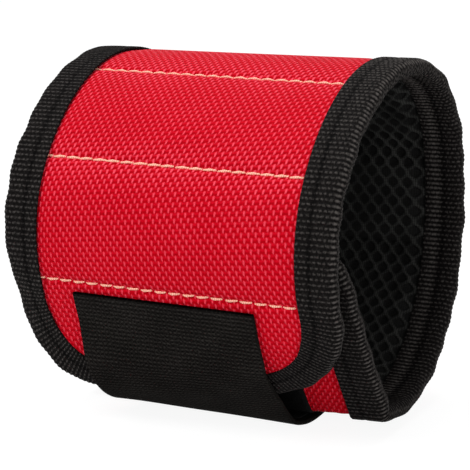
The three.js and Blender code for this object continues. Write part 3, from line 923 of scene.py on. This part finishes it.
# The strap's outside on the cover and on the tape, the step between them and the bow over it
STRAP_ON_COVER = -1.45
STRAP_ON_TAPE = -2.4
STRAP_STEP = (10.5, 16.0)
STRAP_BOW = 0.9
STRAP_BOW_PLACE = 14.0
STRAP_BOW_REACH = 6.0

# The strap past the flap's end: how it loses the flap's twist and sags, and how it lies under the ring,
# back from the closure fold
STRAP_UNTWISTS = 15.0
STRAP_SAG = 0.5
STRAP_SAG_ENDS = (48.0, 62.0)
STRAP_UNDER = -2.35
STRAP_JOINS = 4.5
STRAP_REACHES = 27.0
STRAP_HANDLE = 8.0

# The strap's grid along, the steps that ease its bends, and its ripple
STRAP_GRID = 0.6
STRAP_EASE = 9
RIPPLE = 0.10
RIPPLE_STARTS = (3.0, 9.0)
RIPPLE_ENDS = (40.0, 50.0)


def strap_path():
    """The strap's outside, seen along x: from its sewn end on the flap, round the flap's end and along the
    underside of the ring."""
    down = np.linspace(STRAP_TOP, 0.0, 90)
    depth = STRAP_ON_COVER + (STRAP_ON_TAPE - STRAP_ON_COVER) * (1 - smooth(*STRAP_STEP, down))
    depth -= STRAP_BOW * bell((down - STRAP_BOW_PLACE) / STRAP_BOW_REACH)
    sewn = bend(0 * down, down, depth)[:, 1:] / MM
    back = SEAMS[-1] - np.linspace(STRAP_JOINS, STRAP_REACHES, 60)
    under = bend(0 * back, back, STRAP_UNDER)[:, 1:] / MM
    leaving, arriving = sewn[-1] - sewn[-2], under[1] - under[0]
    first = sewn[-1] + STRAP_HANDLE * leaving / np.linalg.norm(leaving)
    last = under[0] - STRAP_HANDLE * arriving / np.linalg.norm(arriving)
    t = np.linspace(0, 1, 60)[1:-1, None]
    between = (1 - t) ** 3 * sewn[-1] + 3 * t * (1 - t) ** 2 * first
    between = between + 3 * t ** 2 * (1 - t) * last + t ** 3 * under[0]
    line = np.concatenate([sewn, between, under])
    along = np.concatenate([[0], np.cumsum(np.linalg.norm(np.diff(line, axis=0), axis=1))])
    even = np.linspace(0, along[-1], round(along[-1] / STRAP_GRID) + 1)
    line = np.stack([np.interp(even, along, line[:, i]) for i in (0, 1)], -1)
    kernel = np.hanning(STRAP_EASE)[1:-1]
    kernel /= kernel.sum()
    end = kernel.size // 2
    padded = np.concatenate([np.repeat(line[:1], end, 0), line, np.repeat(line[-1:], end, 0)])
    eased = np.stack([np.convolve(padded[:, i], kernel, "valid") for i in (0, 1)], -1)
    eased[:end], eased[-end:] = line[:end], line[-end:]
    ahead = np.gradient(eased, axis=0)
    ahead /= np.linalg.norm(ahead, axis=1, keepdims=True)
    return even, eased, ahead


STRAP_ALONG, STRAP_LINE, STRAP_AHEAD = strap_path()
STRAP_INWARD = np.stack([-STRAP_AHEAD[:, 1], STRAP_AHEAD[:, 0]], -1)


def on_strap(x, along, depth):
    """Points in metres at a depth in from the strap's outside."""
    x, along, depth = np.broadcast_arrays(x, along, depth)
    untwisted = STRAP_TOP + STRAP_UNTWISTS
    past_flap = smooth(STRAP_TOP, untwisted, along)
    twisted = smooth(STRAP_TOP - TWIST_LENGTH, STRAP_TOP - TWIST_FULL, along) * (1 - past_flap)
    depth = depth + FLAP_TWIST * x / HALF_WIDTH * twisted
    hanging = past_flap * (1 - smooth(*STRAP_SAG_ENDS, along))
    depth = depth - STRAP_SAG * (1 + x / STRAP_HALF) * hanging
    x = x + STRAP_SHIFT + (STRAP_ASIDE - STRAP_SHIFT) * smooth(0.0, untwisted, along)
    place = [np.interp(along, STRAP_ALONG, STRAP_LINE[:, i]) for i in (0, 1)]
    inward = [np.interp(along, STRAP_ALONG, STRAP_INWARD[:, i]) for i in (0, 1)]
    return np.stack([x, place[0] + inward[0] * depth, place[1] + inward[1] * depth], -1) * MM


def strap_rings():
    flat_half = STRAP_HALF - STRAP_EDGE
    outer_x = np.linspace(flat_half, -flat_half, 63)
    inner_x = np.linspace(-flat_half, flat_half, 22)
    turn = np.linspace(0, np.pi, 7)[1:-1]
    round_x = flat_half + STRAP_EDGE * np.sin(turn)
    round_d = STRAP_THICK / 2 * (1 - np.cos(turn))
    x = np.concatenate([outer_x, -round_x, inner_x, round_x[::-1]])[None, :]
    depth = np.concatenate([0 * outer_x, round_d, 0 * inner_x + STRAP_THICK, round_d[::-1]])[None, :]
    along = STRAP_ALONG[:, None]
    free = smooth(*RIPPLE_STARTS, along) * (1 - smooth(*RIPPLE_ENDS, along))
    ripple = RIPPLE * np.sin(along * 0.5 + 0.06 * x) * np.cos(x * 0.09) * free
    lean = ROW_LEAN[0] * x * (1 - smooth(0.0, STRAP_LEANS_OVER, along))
    rings = on_strap(x, along, depth - ripple)
    rings[..., 1:] -= (STRAP_AHEAD[:, None, :] * lean[..., None]) * MM
    return rings, np.stack(np.broadcast_arrays(x, along), -1)


rings, pattern = strap_rings()
strap = tube("strap", rings, pattern, STRAP, grid_normals(rings, closed=True))
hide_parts("strap_base", "strap_tail")
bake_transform(strap)


# Hook pad on the strap, and loop patches under the ring and round the closure fold
SLAB_ROUND = 0.12


def slab(place, x, along, bottom, top):
    """A thin sheet with rounded edges, between two depths."""
    middle = [(top + bottom) / 2]
    across = np.concatenate([x[::-1], [x[0] - SLAB_ROUND], x, [x[-1] + SLAB_ROUND]])[None, :]
    level = np.concatenate([0 * x + top, middle, 0 * x + bottom, middle])[None, :]
    along = along[:, None]
    pattern = np.stack(np.broadcast_arrays(across, along), -1)
    return place(across, along, level), tube_faces(along.size, across.size), pattern


def fibre(place, x, along, level, radius, sides):
    """A thin round fibre through points given on the pattern."""
    turn = np.linspace(0, 2 * np.pi, sides, endpoint=False)[None, :]
    x, along, level = (v[:, None] for v in (x, along, level))
    ahead = np.hypot(np.gradient(x, axis=0), np.gradient(along, axis=0)) + 1e-9
    side_x, side_s = -np.gradient(along, axis=0) / ahead, np.gradient(x, axis=0) / ahead
    aside_x, aside_s = side_x * radius * np.cos(turn), side_s * radius * np.cos(turn)
    points = place(x + aside_x, along + aside_s, level + radius * np.sin(turn))
    pattern = np.stack(np.broadcast_arrays(along, turn / (2 * np.pi)), -1)
    return points, tube_faces(x.size, sides), pattern


# The hook pad's middle, half width, length and base, and its hooks: where they start at the sides, their
# pitch both ways, height and thickness
HOOK_MIDDLE_Y = -1.73
HOOK_HALF = 22.0
HOOK_LENGTH = 16.0
HOOK_BASE = (-0.03, 0.22)
HOOK_SIDE = 21.2
HOOK_ROW_PITCH = 1.3
HOOK_PITCH = 1.45
HOOK_STAGGER = 0.35
HOOK_ROOT = 0.18
HOOK_HEIGHT = 0.34
HOOK_RADIUS = 0.075


def hook_parts():
    middle = float(np.interp(HOOK_MIDDLE_Y, STRAP_LINE[:, 0], STRAP_ALONG))
    first, last = middle - HOOK_LENGTH / 2, middle + HOOK_LENGTH / 2
    bottom, top = (STRAP_THICK + level for level in HOOK_BASE)
    x, along = np.linspace(-HOOK_HALF, HOOK_HALF, 45), np.linspace(first, last, 17)
    yield slab(on_strap, x, along, bottom, top)
    t = np.linspace(0, 1, 6)
    level = STRAP_THICK + HOOK_ROOT + HOOK_HEIGHT * np.sin(np.pi * 0.72 * t)
    columns = np.arange(-HOOK_SIDE, HOOK_SIDE + 0.1, HOOK_PITCH)
    for row, along in enumerate(np.arange(first + 0.8, last - 0.6, HOOK_ROW_PITCH)):
        way = 1 if row % 2 else -1
        over = HOOK_HEIGHT * (1 - np.cos(np.pi * 0.75 * t)) * way
        for x in columns + HOOK_STAGGER * way:
            yield fibre(on_strap, np.full(t.size, x), along + over, level, HOOK_RADIUS, 5)


hooks = joined("hook_pad_hooks", hook_parts(), HOOKS)
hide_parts("hook_pad")
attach(hooks, "strap_tail")


def on_cover(x, s, level):
    return bend(x, s, cover_depth(x, s) - level)


# The loop patches: where each starts and ends, its top above the cover and the seed of its loops
LOOP_PATCH = (SEAMS[6] + 4.0, SEAMS[7] - 4.0, 0.22, 7)
LOOP_PATCH_END = (SEAMS[7] - 3.9, SEAMS[7] + 16.0, 0.46, 8)

# Their half width and base, and their loops: how many to a square millimetre, how far in from the edges,
# and their span, height, root under the top and thickness
LOOP_HALF = 24.4
LOOP_BOTTOM = -0.04
LOOPS_PER_AREA = 1.05
LOOP_IN_FROM_SIDE = 0.6
LOOP_IN_FROM_END = 0.5
LOOP_SPAN = (0.35, 0.65)
LOOP_HEIGHT = (0.16, 0.34)
LOOP_ROOT = 0.04
LOOP_RADIUS = 0.05


def loop_parts(first, last, top, seed):
    """A patch between two lengths, and the loops that stand on its top."""
    x, along = np.linspace(-LOOP_HALF, LOOP_HALF, 49), np.linspace(first, last, 33)
    yield slab(on_cover, x, along, LOOP_BOTTOM, top)
    chance = np.random.default_rng(seed)
    t = np.linspace(0, np.pi, 7)
    side = LOOP_HALF - LOOP_IN_FROM_SIDE
    for _ in range(round(LOOPS_PER_AREA * 2 * LOOP_HALF * (last - first))):
        x = chance.uniform(-side, side)
        s = chance.uniform(first + LOOP_IN_FROM_END, last - LOOP_IN_FROM_END)
        turn = chance.uniform(0, np.pi)
        span, height = chance.uniform(*LOOP_SPAN), chance.uniform(*LOOP_HEIGHT)
        out = -span * np.cos(t)
        level = top - LOOP_ROOT + height * np.sin(t)
        yield fibre(on_cover, x + out * math.cos(turn), s + out * math.sin(turn), level, LOOP_RADIUS, 4)


loops = joined("loop_patch_loops", loop_parts(*LOOP_PATCH), LOOPS)
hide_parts("loop_patch")
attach(loops, "panel_7")
loops = joined("loop_patch_end_loops", loop_parts(*LOOP_PATCH_END), LOOPS)
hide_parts("loop_patch_end")
follow(loops, LAST)


# Magnets keep their solids
for name, node in frame["nodes"].items():
    if name.startswith("magnet_"):
        node.data.materials.clear()
        node.data.materials.append(STEEL)


# Cloth that is cut flat: the size of each cover piece laid flat, worked out but not used
for k, piece in enumerate(covers):
    first, last = piece_span(k, COVER_EDGE)
    cut = np.linspace(first, last, 400)
    width = 2 * half_width(cut, COVER_EDGE).max() * MM
    flat = (width, (last - first) * MM)


# Floor, light and camera. The floor glows where it is looked at, and keeps a share of its shadow.
FLOOR_GLOW = 1.14
FLOOR_GLOW_SHARE = 0.8
FLOOR_HALF = 6.0
FLOOR_LEVEL = -0.0004
LIGHT_AIM = (0, 0, 0.05)
WORLD_LEVEL = 0.28


def white_stage():
    g = Graph("white_floor")
    g.set(Base_Color=(0.86, 0.86, 0.86, 1.0), Roughness=0.9, Specular_IOR_Level=0.1)
    glow = g.add("Emission")
    rays = g.add("LightPath")
    seen = g.math("MAXIMUM", rays.outputs["Is Camera Ray"], rays.outputs["Is Glossy Ray"])
    seen = g.math("MAXIMUM", seen, rays.outputs["Is Transmission Ray"])
    mix = g.add("MixShader")
    glow.inputs["Strength"].default_value = FLOOR_GLOW
    g.put(mix.inputs[0], g.times(seen, FLOOR_GLOW_SHARE))
    g.put(mix.inputs[1], g.shader.outputs[0])
    g.put(mix.inputs[2], glow.outputs[0])
    g.put(g.tree.nodes["Material Output"].inputs[0], mix.outputs[0])
    mesh = bpy.data.meshes.new("floor")
    corners = [(x * FLOOR_HALF, y * FLOOR_HALF, 0) for x, y in ((-1, -1), (1, -1), (1, 1), (-1, 1))]
    mesh.from_pydata(corners, [], [(0, 1, 2, 3)])
    mesh.materials.append(g.material)
    floor = bpy.data.objects.new("floor", mesh)
    floor.location.z = FLOOR_LEVEL
    bpy.context.scene.collection.objects.link(floor)


def add_light(name, place, size, power):
    light = bpy.data.lights.new(name, "AREA")
    light.shape = "DISK"
    light.size = size
    light.energy = power
    lamp = bpy.data.objects.new(name, light)
    ahead = np.array(LIGHT_AIM) - np.array(place)
    lamp.rotation_mode = "QUATERNION"
    lamp.rotation_quaternion = Vector(ahead).to_track_quat("-Z", "Y")
    lamp.location = place
    bpy.context.scene.collection.objects.link(lamp)


white_stage()
add_light("key", (-0.55, -0.85, 1.05), size=0.6, power=10.4)
add_light("fill", (0.9, -0.9, 0.35), size=0.9, power=4.6)
add_light("top", (-0.1, 0.25, 1.2), size=0.8, power=9.4)

world = bpy.data.worlds.new("studio")
world.use_nodes = True
bpy.context.scene.world = world
tree = world.node_tree
plain = tree.nodes["Background"]
plain.inputs[0].default_value = (1, 1, 1, 1)
rays = tree.nodes.new("ShaderNodeLightPath")
level = tree.nodes.new("ShaderNodeMapRange")
seen = rays.outputs["Is Camera Ray"]
for kind in ("Is Glossy Ray", "Is Transmission Ray"):
    either = tree.nodes.new("ShaderNodeMath")
    either.operation = "MAXIMUM"
    tree.links.new(seen, either.inputs[0])
    tree.links.new(rays.outputs[kind], either.inputs[1])
    seen = either.outputs[0]
tree.links.new(seen, level.inputs[0])
level.inputs["To Min"].default_value = WORLD_LEVEL
level.inputs["To Max"].default_value = 1.0
tree.links.new(level.outputs[0], plain.inputs[1])


# The camera that matches the photo: its direction in degrees, its place from a point above the floor in
# millimetres, its focal length in pixels of the photo, and the photo's side
CAMERA_AZIMUTH = 27.62
CAMERA_ELEVATION = 12.25
CAMERA_ROLL = -1.21
CAMERA_AIM_HEIGHT = 45.0
CAMERA_DISTANCE = 500.0
CAMERA_ASIDE = -1.77
CAMERA_ABOVE = -0.24
FOCAL_PIXELS = 1960.0
PHOTO_SIDE = 470.0


def add_camera():
    angles = (CAMERA_AZIMUTH, CAMERA_ELEVATION, CAMERA_ROLL)
    azimuth, elevation, roll = (math.radians(angle) for angle in angles)
    level = math.cos(elevation)
    back = np.array([math.sin(azimuth) * level, -math.cos(azimuth) * level, math.sin(elevation)])
    right = np.array([math.cos(azimuth), math.sin(azimuth), 0.0])
    up = np.cross(back, right)
    place = np.array([0, 0, CAMERA_AIM_HEIGHT]) + back * CAMERA_DISTANCE
    place = place + right * CAMERA_ASIDE + up * CAMERA_ABOVE
    rolled_right = right * math.cos(roll) + up * math.sin(roll)
    rolled_up = -right * math.sin(roll) + up * math.cos(roll)
    data = bpy.data.cameras.new("camera")
    data.sensor_width = 36.0
    data.lens = FOCAL_PIXELS / PHOTO_SIDE * data.sensor_width
    data.clip_start, data.clip_end = 0.01, 50.0
    camera = bpy.data.objects.new("camera", data)
    axes = np.stack([rolled_right, rolled_up, back], 1)
    matrix = np.eye(4)
    matrix[:3, :3], matrix[:3, 3] = axes, place * MM
    camera.matrix_world = Matrix(matrix.tolist())
    bpy.context.scene.collection.objects.link(camera)
    bpy.context.scene.camera = camera


add_camera()
bpy.context.scene.view_settings.view_transform = "Standard"
